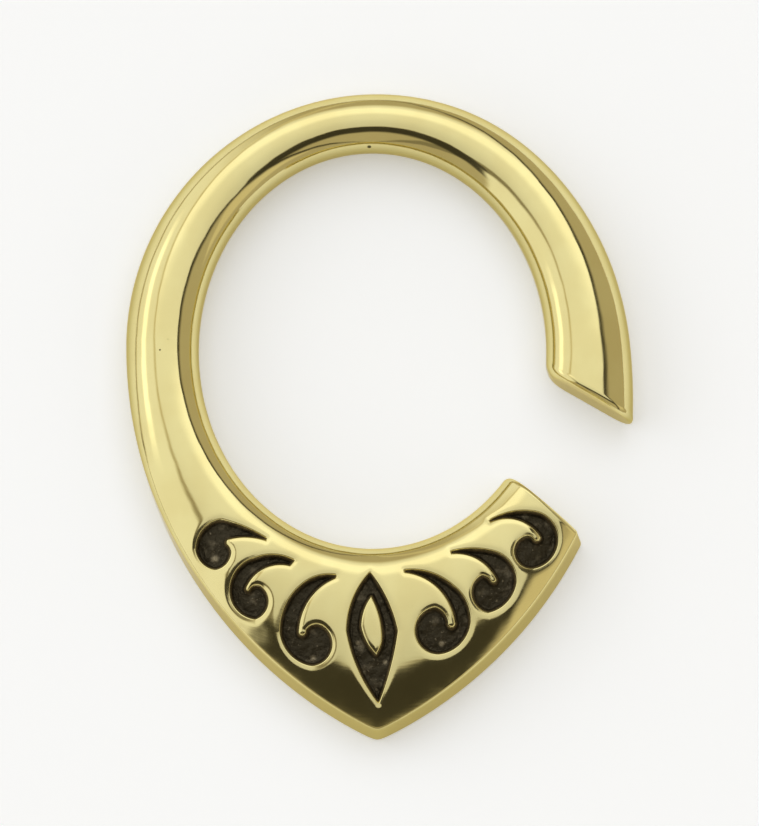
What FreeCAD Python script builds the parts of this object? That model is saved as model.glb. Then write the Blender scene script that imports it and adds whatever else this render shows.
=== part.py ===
"""A cast brass ear weight: an open ring whose lower side widens into a pointed, carved panel.

It lies on its flat back: +Z is up, out of the carved face, and +Y runs from the panel's tip to the ring's
top. The origin is the middle of the weight's outline, on the surface that it lies on. Millimetres.
"""

import FreeCAD, Part
import math
import os
from collections import namedtuple

V = FreeCAD.Vector
UP = V(0, 0, 1)

# Outline of the weight, measured from the ring's centre
RING_HALF_WIDTH = 21.0
RING_HALF_HEIGHT = 21.3
TIP_DROP = 33.2
HOLE_HALF_WIDTH = 14.5
HOLE_HALF_HEIGHT = 16.95
HOLE_CENTRE = (-0.4, -0.57)

# The bar swells outwards over its last stretch before the gap
SWELL = 0.8
SWELL_FROM = 255.0
SWELL_TO = 285.0

# Before that it is drawn in a little, most halfway between two turns
WAIST = 0.35
WAIST_FROM = 195.0
WAIST_TO = 280.0

# Cross sections round the ring. turn is the angle in degrees from the panel's tip, clockwise seen from
# above, so the ring's top is at 180. height is the crest's, and crest its distance from the hole as a share
# of the width. face_slope is how steeply the face falls where it meets the rim, rim_radius rounds that
# meeting, lean is how far the rim's wall leans in from upright, hole_depth is how far down the rounding into
# the hole reaches, back_radius rounds both back edges, and back is the height of the back before it is
# lapped flat.
Section = namedtuple(
    "Section", "turn height crest face_slope rim_radius lean hole_depth back_radius back"
)
SECTIONS = (
    Section(-54, 5.5, 0.30, 34, 0.45, 10, 2.2, 0.7, -0.08),
    Section(-44, 5.6, 0.30, 33, 0.45, 10, 2.2, 0.7, -0.08),
    Section(-30, 5.9, 0.26, 30, 0.40, 10, 2.3, 0.7, -0.08),
    Section(-15, 6.1, 0.21, 27, 0.40, 10, 2.3, 0.7, -0.08),
    Section(0, 6.2, 0.19, 25, 0.40, 10, 2.3, 0.7, -0.08),
    Section(15, 6.1, 0.21, 27, 0.40, 9, 2.3, 0.7, -0.08),
    Section(30, 5.9, 0.26, 30, 0.50, 7, 2.3, 0.8, -0.08),
    Section(45, 5.7, 0.32, 34, 0.90, 3, 2.4, 1.0, -0.08),
    Section(62, 5.5, 0.39, 42, 1.40, 0, 2.5, 1.4, -0.05),
    Section(80, 5.3, 0.44, 50, 2.00, 0, 2.5, 1.9, 0.00),
    Section(100, 5.2, 0.46, 58, 2.40, 0, 2.5, 2.1, 0.04),
    Section(120, 5.1, 0.49, 66, 2.40, 0, 2.5, 2.2, 0.05),
    Section(140, 5.0, 0.52, 74, 2.25, 0, 2.45, 2.2, 0.05),
    Section(160, 5.0, 0.54, 79, 2.15, 0, 2.45, 2.2, 0.05),
    Section(180, 5.0, 0.55, 80, 2.10, 0, 2.45, 2.2, 0.05),
    Section(200, 5.0, 0.54, 78, 2.15, 0, 2.45, 2.15, 0.05),
    Section(220, 5.1, 0.52, 70, 2.20, 0, 2.45, 2.05, 0.05),
    Section(240, 5.2, 0.48, 56, 2.40, 0, 2.5, 1.95, 0.05),
    Section(260, 5.3, 0.44, 42, 2.60, 0, 2.5, 1.80, 0.05),
    Section(280, 5.4, 0.42, 33, 2.70, 0, 2.5, 1.80, 0.05),
    Section(296, 5.4, 0.42, 33, 2.70, 0, 2.5, 1.80, 0.05),
)

# The two cut ends of the ring, with a gap between them. Each is a straight cut that starts at a point on the
# hole's side and runs outwards along a direction seen from above, and takes off what lies on one side.
EndCut = namedtuple("EndCut", "start direction side depth edge_radius")
BAR_END = EndCut((14.3, -2.8), -30.0, -1, 8.0, 0.5)
PANEL_END = EndCut((11.16, -11.6), -39.2, +1, 6.0, 0.35)
CUT_LEAD_IN = 3.0
CUT_LENGTH = 12.0

# The carving is sunk to one depth below the face. Each scroll is a closed run of arcs in plan: from the upper
# corner of its tail over its back to the bulb's sole, round to the lip, in to the throat and out to the tail.
CARVING_DEPTH = 0.8
Scroll = namedtuple(
    "Scroll",
    "tail_top nape brow temple flank heel sole cheek crown curl lip notch throat inner tail_low",
)
SCROLLS = (
    Scroll(
        (-9.15, -16.92), (-10.9, -16.0), (-12.9, -15.32), (-14.55, -16.3), (-15.0, -17.7),
        (-14.4, -18.85), (-13.35, -19.36), (-12.35, -18.75), (-12.1, -18.0), (-12.18, -17.7),
        (-12.38, -17.42), (-12.49, -17.18), (-12.38, -16.96), (-11.3, -16.79), (-9.2, -17.08),
    ),
    Scroll(
        (-6.85, -18.8), (-8.3, -18.33), (-10.0, -18.53), (-11.6, -19.5), (-12.15, -21.4),
        (-11.45, -22.8), (-10.05, -23.47), (-9.02, -21.95), (-9.6, -20.9), (-10.1, -20.8),
        (-10.48, -21.08), (-10.72, -21.2), (-10.86, -20.95), (-9.9, -19.73), (-7.2, -19.2),
    ),
    Scroll(
        (-3.4, -20.03), (-4.7, -20.05), (-6.2, -20.8), (-7.55, -22.5), (-8.0, -24.6),
        (-7.2, -26.35), (-5.4, -27.33), (-3.75, -25.4), (-4.55, -24.17), (-5.2, -24.07),
        (-5.85, -24.5), (-6.25, -24.92), (-6.5, -24.5), (-5.85, -22.35), (-3.42, -20.24),
    ),
    Scroll(
        (2.25, -19.6), (4.2, -19.78), (6.3, -20.95), (7.45, -22.5), (7.65, -23.8),
        (6.95, -25.4), (5.1, -26.4), (3.15, -24.4), (4.75, -22.67), (5.45, -23.1),
        (5.8, -23.85), (6.1, -24.27), (6.42, -23.8), (5.45, -21.52), (2.3, -19.78),
    ),
    Scroll(
        (6.1, -18.0), (7.9, -17.8), (9.6, -18.02), (11.15, -19.2), (11.45, -20.5),
        (10.65, -22.1), (9.2, -22.95), (7.8, -21.4), (8.6, -20.0), (9.0, -20.1),
        (9.3, -20.38), (9.65, -20.55), (9.86, -20.3), (8.75, -18.93), (6.15, -18.2),
    ),
    Scroll(
        (9.3, -15.36), (11.0, -14.72), (13.1, -14.68), (14.65, -15.8), (14.93, -17.0),
        (14.2, -18.55), (12.85, -19.27), (11.37, -17.6), (12.3, -16.67), (12.65, -16.72),
        (12.9, -16.92), (13.25, -17.03), (13.5, -16.7), (12.3, -15.6), (9.35, -15.53),
    ),
)

# The leaf between the scrolls, with a raised heart inside it that keeps the face's own height
Leaf = namedtuple(
    "Leaf", "top right_shoulder right right_flank foot left_flank left left_shoulder"
)
LEAF = Leaf(
    (-0.6, -19.8), (0.75, -21.95), (1.65, -24.6), (1.15, -27.2),
    (0.1, -30.4), (-1.45, -27.9), (-2.5, -24.6), (-1.95, -21.9),
)
HEART = Leaf(
    (-0.5, -21.75), (0.13, -23.2), (0.41, -24.8), (0.27, -25.9),
    (-0.1, -26.55), (-0.85, -25.6), (-1.36, -24.2), (-1.05, -22.7),
)

# Heights that a carving tool runs between, from inside the metal to clear above the face
TOOL_BOTTOM = 2.0
TOOL_TOP = 8.0

# An edge lies on a cut where it comes this near to it
TOUCH = 1e-4


def ring_direction(turn):
    """Unit vector in plan from the ring's centre, at an angle clockwise from the panel's tip."""
    angle = math.radians(270.0 - turn)
    return math.cos(angle), math.sin(angle)


def hole_reach(turn):
    """Distance from the ring's centre to the oval hole's wall."""
    dx, dy = ring_direction(turn)
    cx, cy = HOLE_CENTRE
    a = (dx / HOLE_HALF_WIDTH) ** 2 + (dy / HOLE_HALF_HEIGHT) ** 2
    b = -2.0 * (dx * cx / HOLE_HALF_WIDTH**2 + dy * cy / HOLE_HALF_HEIGHT**2)
    c = (cx / HOLE_HALF_WIDTH) ** 2 + (cy / HOLE_HALF_HEIGHT) ** 2 - 1.0
    return (-b + math.sqrt(b * b - 4.0 * a * c)) / (2.0 * a)


def outer_reach(turn):
    """Distance from the ring's centre to the outline: a half oval above, two arcs that meet in a tip below."""
    dx, dy = ring_direction(turn)
    if dy >= 0.0:
        reach = 1.0 / math.hypot(dx / RING_HALF_WIDTH, dy / RING_HALF_HEIGHT)
    else:
        leg_centre = (TIP_DROP**2 - RING_HALF_WIDTH**2) / (2.0 * RING_HALF_WIDTH)
        leg_radius = leg_centre + RING_HALF_WIDTH
        along = -abs(dx) * leg_centre
        reach = along + math.sqrt(along**2 + leg_radius**2 - leg_centre**2)
    swell = max(0.0, (turn - SWELL_FROM) / (SWELL_TO - SWELL_FROM))
    waist = min(max((turn - WAIST_FROM) / (WAIST_TO - WAIST_FROM), 0.0), 1.0)
    return reach + SWELL * swell**2 - WAIST * math.sin(math.pi * waist) ** 2


def quarter_oval(at, reach, height, half_width, half_height):
    """Quarter of an oval about a point of the section, between straight up and straight inwards."""
    centre = at(reach, height)
    side = at(reach - half_width, height)
    top = at(reach, height + half_height)
    if half_width > half_height:
        oval = Part.Ellipse(side, top, centre)
    else:
        oval = Part.Ellipse(top, side, centre)
    return Part.ArcOfEllipse(oval, 0.0, math.radians(90.0)).toShape()


def section_wire(row):
    """Closed outline of one cross section, standing in the vertical plane through the ring's centre."""
    dx, dy = ring_direction(row.turn)
    inner = hole_reach(row.turn)
    outer = outer_reach(row.turn)
    crest = inner + row.crest * (outer - inner)
    hole_top = row.height - row.hole_depth
    back_corner = row.back + row.back_radius
    to_rim = 90.0 - row.face_slope

    # The rim's rounding touches the face and the wall, which leans in as it rises from the back's rounding
    slope, lean = math.radians(row.face_slope), math.radians(row.lean)
    fall = math.tan(slope / 2)
    rise = row.height - row.rim_radius + crest * fall - back_corner
    foot = (outer - row.back_radius) * math.cos(lean) + row.back_radius - row.rim_radius
    rim_reach = (foot - rise * math.sin(lean)) / (math.cos(lean) - fall * math.sin(lean))
    rim_centre = row.height - row.rim_radius - (rim_reach - crest) * fall
    face_radius = (rim_reach - crest) / math.sin(slope) + row.rim_radius

    def at(reach, height):
        return V(dx * reach, dy * reach, height)

    def on_round(reach, height, radius, angle):
        """Point of a rounding about a point of the section, at an angle up from outwards."""
        a = math.radians(angle)
        return at(reach + radius * math.cos(a), height + radius * math.sin(a))

    def rounding(reach, height, radius, start, end):
        """Arc about a point of the section, from one angle to another."""
        angles = start, (start + end) / 2, end
        return Part.Arc(*[on_round(reach, height, radius, angle) for angle in angles]).toShape()

    back_round = outer - row.back_radius, back_corner, row.back_radius
    rim_round = rim_reach, rim_centre, row.rim_radius
    edges = [
        rounding(*back_round, -90.0, row.lean),
        Part.makeLine(on_round(*back_round, row.lean), on_round(*rim_round, row.lean)),
        rounding(*rim_round, row.lean, to_rim),
        rounding(crest, row.height - face_radius, face_radius, to_rim, 90.0),
        quarter_oval(at, crest, hole_top, crest - inner, row.hole_depth),
        Part.makeLine(at(inner, hole_top), at(inner, back_corner)),
        rounding(inner + row.back_radius, back_corner, row.back_radius, 180.0, 270.0),
        Part.makeLine(at(inner + row.back_radius, row.back), at(outer - row.back_radius, row.back)),
    ]
    return Part.Wire(edges)


def leg(rows):
    """Solid through a run of cross sections."""
    return Part.makeLoft([section_wire(row) for row in rows], True, False)


def cut_end(solid, cut):
    """The solid with one end taken off along a straight cut, and the new face's edges rounded."""
    near = 0.0 if cut.side > 0 else -cut.depth
    block = Part.makeBox(
        CUT_LEAD_IN + CUT_LENGTH, cut.depth, 2.0 * TOOL_TOP, V(-CUT_LEAD_IN, near, -TOOL_TOP)
    )
    start = V(*cut.start, 0.0)
    block.rotate(V(0, 0, 0), UP, cut.direction)
    block.translate(start)
    trimmed = solid.cut(block).Solids[0]
    angle = math.radians(cut.direction)
    across = V(-math.sin(angle), math.cos(angle), 0.0)
    on_cut = [
        edge for edge in trimmed.Edges
        if all(abs((point - start).dot(across)) < TOUCH for point in edge.discretize(5))
    ]
    return trimmed.makeFillet(cut.edge_radius, on_cut)


def lapped_flat(solid):
    """The solid with its back ground to the plane that it lies on."""
    box = solid.BoundBox
    slab = Part.makeBox(
        box.XLength + 2.0, box.YLength + 2.0, TOOL_TOP, V(box.XMin - 1.0, box.YMin - 1.0, -TOOL_TOP)
    )
    return solid.cut(slab)


def arc_outline(points):
    """Closed wire of arcs in plan, each through three points; an odd last point joins the first by a line."""
    corners = [V(x, y, TOOL_BOTTOM) for x, y in points]
    edges = []
    for first in range(0, len(corners) - 1, 2):
        start, middle, end = corners[first], corners[first + 1], corners[(first + 2) % len(corners)]
        edges.append(Part.Arc(start, middle, end).toShape())
    if len(corners) % 2:
        edges.append(Part.makeLine(corners[-1], corners[0]))
    return Part.Wire(edges)


def carving_tool(points):
    """Upright prism over an outline in plan."""
    return Part.Face(arc_outline(points)).extrude(UP * (TOOL_TOP - TOOL_BOTTOM))


def carve(solid):
    """The solid with its scrolls and leaf sunk into the face, all to the same depth below it."""
    lowered = solid.translated(-UP * CARVING_DEPTH)
    tools = [carving_tool(scroll) for scroll in SCROLLS]
    tools.append(carving_tool(LEAF).cut(carving_tool(HEART)))
    return solid.cut([tool.cut(lowered) for tool in tools])


def ear_weight():
    """The whole weight, one casting, standing on the origin by the middle of its outline."""
    panel = cut_end(leg([row for row in SECTIONS if row.turn <= 0]), PANEL_END)
    bar = cut_end(leg([row for row in SECTIONS if row.turn >= 0]), BAR_END)
    casting = carve(lapped_flat(bar.fuse(panel)))
    box = casting.optimalBoundingBox()
    middle = V((box.XMin + box.XMax) / 2, (box.YMin + box.YMax) / 2, 0.0)
    return casting.Solids[0].translated(-middle)


if __name__ == "__main__":
    os.makedirs("parts", exist_ok=True)
    weight = ear_weight()
    weight.exportStep("parts/ear_weight.step")
    print("valid", weight.isValid(), "volume", round(weight.Volume, 1), "faces", len(weight.Faces))
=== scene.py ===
"""A cast brass ear weight with a carved panel, lying face up on a pale table under soft studio light.

The weight is one casting. Its skin is worked out here from cross sections round the ring, finer than the
solid that it stands for, and the scrolls and leaf are sunk into it with sloped, rounded walls.
"""

import math
from collections import namedtuple
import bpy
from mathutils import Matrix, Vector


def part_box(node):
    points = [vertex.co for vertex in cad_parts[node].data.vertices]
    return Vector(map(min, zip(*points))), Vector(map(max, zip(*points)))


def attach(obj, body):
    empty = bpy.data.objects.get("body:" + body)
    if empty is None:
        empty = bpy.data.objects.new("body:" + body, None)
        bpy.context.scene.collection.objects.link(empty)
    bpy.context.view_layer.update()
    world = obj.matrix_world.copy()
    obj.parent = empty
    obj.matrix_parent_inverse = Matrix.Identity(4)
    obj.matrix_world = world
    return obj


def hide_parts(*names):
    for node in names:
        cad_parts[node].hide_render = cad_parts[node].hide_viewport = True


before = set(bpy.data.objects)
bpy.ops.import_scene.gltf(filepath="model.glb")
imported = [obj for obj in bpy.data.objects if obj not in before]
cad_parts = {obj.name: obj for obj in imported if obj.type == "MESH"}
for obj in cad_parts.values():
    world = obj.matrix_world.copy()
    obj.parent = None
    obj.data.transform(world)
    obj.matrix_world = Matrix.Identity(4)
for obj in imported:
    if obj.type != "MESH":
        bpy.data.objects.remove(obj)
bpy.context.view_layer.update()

from types import SimpleNamespace

import bpy
import numpy as np
from bpy.props import FloatProperty, FloatVectorProperty, PointerProperty
from mathutils import Vector
from mathutils.geometry import delaunay_2d_cdt
from mathutils.kdtree import KDTree

bl_info = {
    "name": "Ear Weight",
    "version": (1, 0, 0),
    "blender": (4, 5, 0),
    "location": "View3D > Sidebar > Ear Weight",
    "description": "Makes a cast brass ear weight with a carved panel, its table and its light",
    "category": "Add Mesh",
}

MM = 0.001
NODE = "ear_weight"
BODY = "root"

# Cross sections round the ring, in millimetres. turn is the angle in degrees from the panel's tip, clockwise
# seen from above, so the ring's top is at 180. height is the crest's, and crest its distance from the hole as
# a share of the width. face_slope is how steeply the face falls where it meets the rim, rim_radius rounds
# that meeting, lean is how far the rim's wall leans in from upright, hole_depth is how far down the rounding
# into the hole reaches, back_radius rounds both back edges, and back is the height of the back before it is
# lapped flat.
Section = namedtuple(
    "Section", "turn height crest face_slope rim_radius lean hole_depth back_radius back"
)
SECTIONS = (
    Section(-54, 5.5, 0.30, 34, 0.45, 10, 2.2, 0.7, -0.08),
    Section(-44, 5.6, 0.30, 33, 0.45, 10, 2.2, 0.7, -0.08),
    Section(-30, 5.9, 0.26, 30, 0.40, 10, 2.3, 0.7, -0.08),
    Section(-15, 6.1, 0.21, 27, 0.40, 10, 2.3, 0.7, -0.08),
    Section(0, 6.2, 0.19, 25, 0.40, 10, 2.3, 0.7, -0.08),
    Section(15, 6.1, 0.21, 27, 0.40, 9, 2.3, 0.7, -0.08),
    Section(30, 5.9, 0.26, 30, 0.50, 7, 2.3, 0.8, -0.08),
    Section(45, 5.7, 0.32, 34, 0.90, 3, 2.4, 1.0, -0.08),
    Section(62, 5.5, 0.39, 42, 1.40, 0, 2.5, 1.4, -0.05),
    Section(80, 5.3, 0.44, 50, 2.00, 0, 2.5, 1.9, 0.00),
    Section(100, 5.2, 0.46, 58, 2.40, 0, 2.5, 2.1, 0.04),
    Section(120, 5.1, 0.49, 66, 2.40, 0, 2.5, 2.2, 0.05),
    Section(140, 5.0, 0.52, 74, 2.25, 0, 2.45, 2.2, 0.05),
    Section(160, 5.0, 0.54, 79, 2.15, 0, 2.45, 2.2, 0.05),
    Section(180, 5.0, 0.55, 80, 2.10, 0, 2.45, 2.2, 0.05),
    Section(200, 5.0, 0.54, 78, 2.15, 0, 2.45, 2.15, 0.05),
    Section(220, 5.1, 0.52, 70, 2.20, 0, 2.45, 2.05, 0.05),
    Section(240, 5.2, 0.48, 56, 2.40, 0, 2.5, 1.95, 0.05),
    Section(260, 5.3, 0.44, 42, 2.60, 0, 2.5, 1.80, 0.05),
    Section(280, 5.4, 0.42, 33, 2.70, 0, 2.5, 1.80, 0.05),
    Section(296, 5.4, 0.42, 33, 2.70, 0, 2.5, 1.80, 0.05),
)

# The bar swells outwards over its last stretch before the gap
SWELL_FROM = 255.0
SWELL_TO = 285.0

# Before that it is drawn in a little, most halfway between two turns
WAIST_FROM = 195.0
WAIST_TO = 280.0

# The two cut ends. Each is a straight cut from a point on the hole's side along a direction seen from above,
# in degrees. kept is the side of the cut that the metal is on, edge_radius rounds its edges and
# corner_radius its corner by the hole, and the last rows of the skin run from one turn to the other, which is
# past the cut.
EndCut = namedtuple("EndCut", "start direction kept edge_radius corner_radius from_turn past_turn")
BAR_END = EndCut((14.3, -2.8), -30.0, +1, 0.5, 1.0, 266.0, 295.5)
PANEL_END = EndCut((11.16, -11.6), -39.2, -1, 0.35, 0.6, -36.0, -53.0)

# Each scroll is a closed run of arcs in plan: from the upper corner of its tail over its back to the bulb's
# sole, round to the lip, in to the throat and out to the tail.
Scroll = namedtuple(
    "Scroll",
    "tail_top nape brow temple flank heel sole cheek crown curl lip notch throat inner tail_low",
)
SCROLLS = (
    Scroll(
        (-9.15, -16.92), (-10.9, -16.0), (-12.9, -15.32), (-14.55, -16.3), (-15.0, -17.7),
        (-14.4, -18.85), (-13.35, -19.36), (-12.35, -18.75), (-12.1, -18.0), (-12.18, -17.7),
        (-12.38, -17.42), (-12.49, -17.18), (-12.38, -16.96), (-11.3, -16.79), (-9.2, -17.08),
    ),
    Scroll(
        (-6.85, -18.8), (-8.3, -18.33), (-10.0, -18.53), (-11.6, -19.5), (-12.15, -21.4),
        (-11.45, -22.8), (-10.05, -23.47), (-9.02, -21.95), (-9.6, -20.9), (-10.1, -20.8),
        (-10.48, -21.08), (-10.72, -21.2), (-10.86, -20.95), (-9.9, -19.73), (-7.2, -19.2),
    ),
    Scroll(
        (-3.4, -20.03), (-4.7, -20.05), (-6.2, -20.8), (-7.55, -22.5), (-8.0, -24.6),
        (-7.2, -26.35), (-5.4, -27.33), (-3.75, -25.4), (-4.55, -24.17), (-5.2, -24.07),
        (-5.85, -24.5), (-6.25, -24.92), (-6.5, -24.5), (-5.85, -22.35), (-3.42, -20.24),
    ),
    Scroll(
        (2.25, -19.6), (4.2, -19.78), (6.3, -20.95), (7.45, -22.5), (7.65, -23.8),
        (6.95, -25.4), (5.1, -26.4), (3.15, -24.4), (4.75, -22.67), (5.45, -23.1),
        (5.8, -23.85), (6.1, -24.27), (6.42, -23.8), (5.45, -21.52), (2.3, -19.78),
    ),
    Scroll(
        (6.1, -18.0), (7.9, -17.8), (9.6, -18.02), (11.15, -19.2), (11.45, -20.5),
        (10.65, -22.1), (9.2, -22.95), (7.8, -21.4), (8.6, -20.0), (9.0, -20.1),
        (9.3, -20.38), (9.65, -20.55), (9.86, -20.3), (8.75, -18.93), (6.15, -18.2),
    ),
    Scroll(
        (9.3, -15.36), (11.0, -14.72), (13.1, -14.68), (14.65, -15.8), (14.93, -17.0),
        (14.2, -18.55), (12.85, -19.27), (11.37, -17.6), (12.3, -16.67), (12.65, -16.72),
        (12.9, -16.92), (13.25, -17.03), (13.5, -16.7), (12.3, -15.6), (9.35, -15.53),
    ),
)

# The leaf between the scrolls, with a raised heart inside it that keeps the face's own height
Leaf = namedtuple(
    "Leaf", "top right_shoulder right right_flank foot left_flank left left_shoulder"
)
LEAF = Leaf(
    (-0.6, -19.8), (0.75, -21.95), (1.65, -24.6), (1.15, -27.2),
    (0.1, -30.4), (-1.45, -27.9), (-2.5, -24.6), (-1.95, -21.9),
)
HEART = Leaf(
    (-0.5, -21.75), (0.13, -23.2), (0.41, -24.8), (0.27, -25.9),
    (-0.1, -26.55), (-0.85, -25.6), (-1.36, -24.2), (-1.05, -22.7),
)

# Spots in the brass, in millimetres from the ring's centre and the table: pits in the casting, the first in
# the hole's wall, and places in plan where metal shows through the blackened floors
Spot = namedtuple("Spot", "x y z radius")
PITS = (
    Spot(-0.68, 16.66, 3.6, 0.20),
    Spot(-18.05, -1.0, 5.2, 0.09),
    Spot(-17.4, -0.1, 5.2, 0.05),
)
WORN_SPOTS = (
    Spot(-13.45, -18.45, 0, 0.50),
    Spot(-5.30, -26.70, 0, 0.40),
    Spot(-1.60, -25.50, 0, 0.30),
    Spot(-0.05, -29.25, 0, 0.16),
    Spot(0.65, -27.05, 0, 0.30),
    Spot(5.30, -25.50, 0, 0.35),
)

# Steps of the skin along each part of a cross section, from the outer back edge up and over into the hole
OUTER_BACK, OUTER_WALL, RIM, FACE, INTO_HOLE, INNER_WALL, INNER_BACK, BACK = range(8)
PART_STEPS = (5, 4, 8, 30, 18, 4, 5, 8)

# The patch of the skin that is carved starts with the face and reaches some steps into the hole
CARVED_FROM_STEP = sum(PART_STEPS[:FACE])
CARVED_TO_STEP = sum(PART_STEPS[:INTO_HOLE]) + 10

# Turns between rows of the skin, closer over the ridge at the panel's tip, and where the carved patch stops
TURN_STEP = 1.0
RIDGE_TURN = 1.6
RIDGE_STEP = 0.2
CARVED_TO_TURN = 46.0

# Rows of the skin at a cut end: steps that lead up to it, rows before its rounded edge, as distances in
# millimetres, steps round that edge, and rings across the end's face, as shares of the way out from its
# middle. A row's turn is found between trial turns.
BLEND_ROWS = 8
ROWS_TO_END = (1.0, 0.8, 0.6, 0.4, 0.25, 0.12)
EDGE_STEPS = 8
CAP_RINGS = (0.8, 0.5, 0.2)
TRIAL_TURNS = 160

# The carving's wall runs between two distances in from its outline, in millimetres
WALL_START = -0.11
WALL_END = 0.34

# Points of the carved patch, in millimetres. They follow the outlines in rows at these distances in, and
# those off their distance or too near another are left out.
WALL_ROWS = (
    -0.70, -0.56, -0.44, -0.35, -0.27, -0.20, -0.14, -0.09, -0.04, 0.0, 0.04, 0.09, 0.14, 0.19, 0.26, 0.33
)
FINE_STEP = 0.02
OUTLINE_STEP = 0.09
LEAST_GAP = 0.035
ROW_MISS = 0.01

# A grid of points fills what the rows leave open, and the skin's own points keep clear of both
FILL_STEP = 0.15
FILL_GAP = 0.1
FILL_MARGIN = 0.5
CLEAR_OF_WALL = -0.78

# Noises in the brass, each with a seed of its own
Noise = namedtuple("Noise", "scale detail seed")
RAGGED_NOISE = Noise(2400, 3, 1)
RUBBED_NOISE = Noise(900, 3, 2)
SPECK_NOISE = Noise(4200, 3, 3)
WARMTH_NOISE = Noise(260, 3, 4)
STREAK_NOISE = Noise(3600, 3, 5)
SMEAR_NOISE = Noise(420, 5, 6)
GRAIN_NOISE = Noise(1200, 4, 7)
WAVE_NOISE = Noise(200, 2, 8)

# Smooth steps between two values, 0 and 1 if none are given, from start to end of what they depend on: the
# ragged distance in from the outline in millimetres for the black and the floor, the height for the flank's
# painted shade, a cell's distance and colour for the dots, and a noise for the rest.
Ramp = namedtuple("Ramp", "start end from_value to_value", defaults=(0.0, 1.0))
BLACK_RAMP = Ramp(-0.03, 0.06)
FLOOR_RAMP = Ramp(0.06, 0.22)
RUBBED_RAMP = Ramp(0.52, 0.74, 0.0, 0.35)
SPECK_RAMP = Ramp(0.62, 0.72, 0.0, 0.5)
WARMTH_RAMP = Ramp(0.35, 0.65)
# Painted shade: below this height the brass is darkened on the sides, standing in for the dimmer reflection
# of the table there
FLANK_PAINTED_SHADE_RAMP = Ramp(3.2 * MM, 4.2 * MM, 1.0, 0.0)
SMEAR_RAMP = Ramp(0.3, 0.7, 0.8, 1.25)
DOT_RAMP = Ramp(0.015, 0.035, 1.0, 0.0)
RARE_RAMP = Ramp(0.80, 0.82)

# How the brass and its black are varied
RAGGEDNESS = 0.16
WORN_IN_SPOTS = 0.9
BLACK_ROUGHNESS = 0.42
SMOOTHER_WHERE_WORN = 0.2
LESS_METALLIC_BLACK = 0.6
DOT_SCALE = 330.0
PIT_FLAT = 0.6
PIT_BLACKNESS = 0.9

# Depths in metres and strengths of the skin's roughness
GRAIN_DEPTH = 0.0005
WAVE_DEPTH = 0.0001
STREAK_DEPTH = 0.000004
STREAK_STRENGTH = 0.5
PIT_DEPTH = 0.0001
PIT_STRENGTH = 0.6

# The lights as spans of angles in degrees, which fade beyond either end. front and right are measured from
# straight up, level from the horizon, and round from the left towards the front.
Span = namedtuple("Span", "low high low_fade high_fade")
OVERHEAD_FRONT = Span(-50, 23.5, 14, 1.5)
OVERHEAD_RIGHT = Span(-27.5, 37, 3.5, 1.5)
GLOW_FRONT = Span(-40, -28, 12, 16)
SEAM_RIGHT = Span(-38, -26, 2, 2)
FRONT_GAP_FRONT = Span(26, 41, 2, 7)
CORNER_FRONT = Span(29, 62, 6, 8)
CORNER_RIGHT = Span(45, 70, 8, 8)
RIGHT_GAP_RIGHT = Span(38, 41, 1.5, 9)
SIDE_ROUND = Span(-50, 36, 25, 4)
STREAK_LEVEL = Span(24, 31, 5, 6)
STREAK_ROUND = Span(-32, -6, 12, 14)

# Where the seam's and the overhead light's brightness changes, front to back, and edges of two others
SEAM_RAMP = Ramp(-15, 15, 0.68, 0.25)
OVERHEAD_RAMP = Ramp(24, -15, 0.76, 1.0)
FRONT_GAP_RAMP = Ramp(44, 38)
SIDE_LEVEL_RAMP = Ramp(3, 6)
SIDE_RIGHT_RAMP = Ramp(-31, -36)

# How far the two lights part for each degree towards the front, and how bright the glow and the streak are
PARTING = 0.12
GLOW = 0.33
STREAK = 0.6

# The table's half width in metres and how matt it is, and the nearest that the camera sees, in metres
TABLE_HALF = 1.0
TABLE_ROUGHNESS = 0.85
TABLE_SHINE = 0.2
NEAR_CLIP = 0.005


def along_table(turn, column):
    """A column of SECTIONS at any turn, on a smooth curve through its rows."""
    turns = np.array([row.turn for row in SECTIONS], float)
    values = np.array([getattr(row, column) for row in SECTIONS], float)
    slopes = np.gradient(values, turns)
    at = np.clip(np.searchsorted(turns, turn) - 1, 0, len(turns) - 2)
    span = turns[at + 1] - turns[at]
    share = (turn - turns[at]) / span
    rise = share * share * (3.0 - 2.0 * share)
    ends = (1.0 - rise) * values[at] + rise * values[at + 1]
    bend = slopes[at] * (1.0 - share) - slopes[at + 1] * share
    return ends + span * share * (1.0 - share) * bend


def unit(vectors):
    """The vectors at length 1."""
    return vectors / np.maximum(np.linalg.norm(vectors, axis=-1, keepdims=True), 1e-12)


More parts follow.
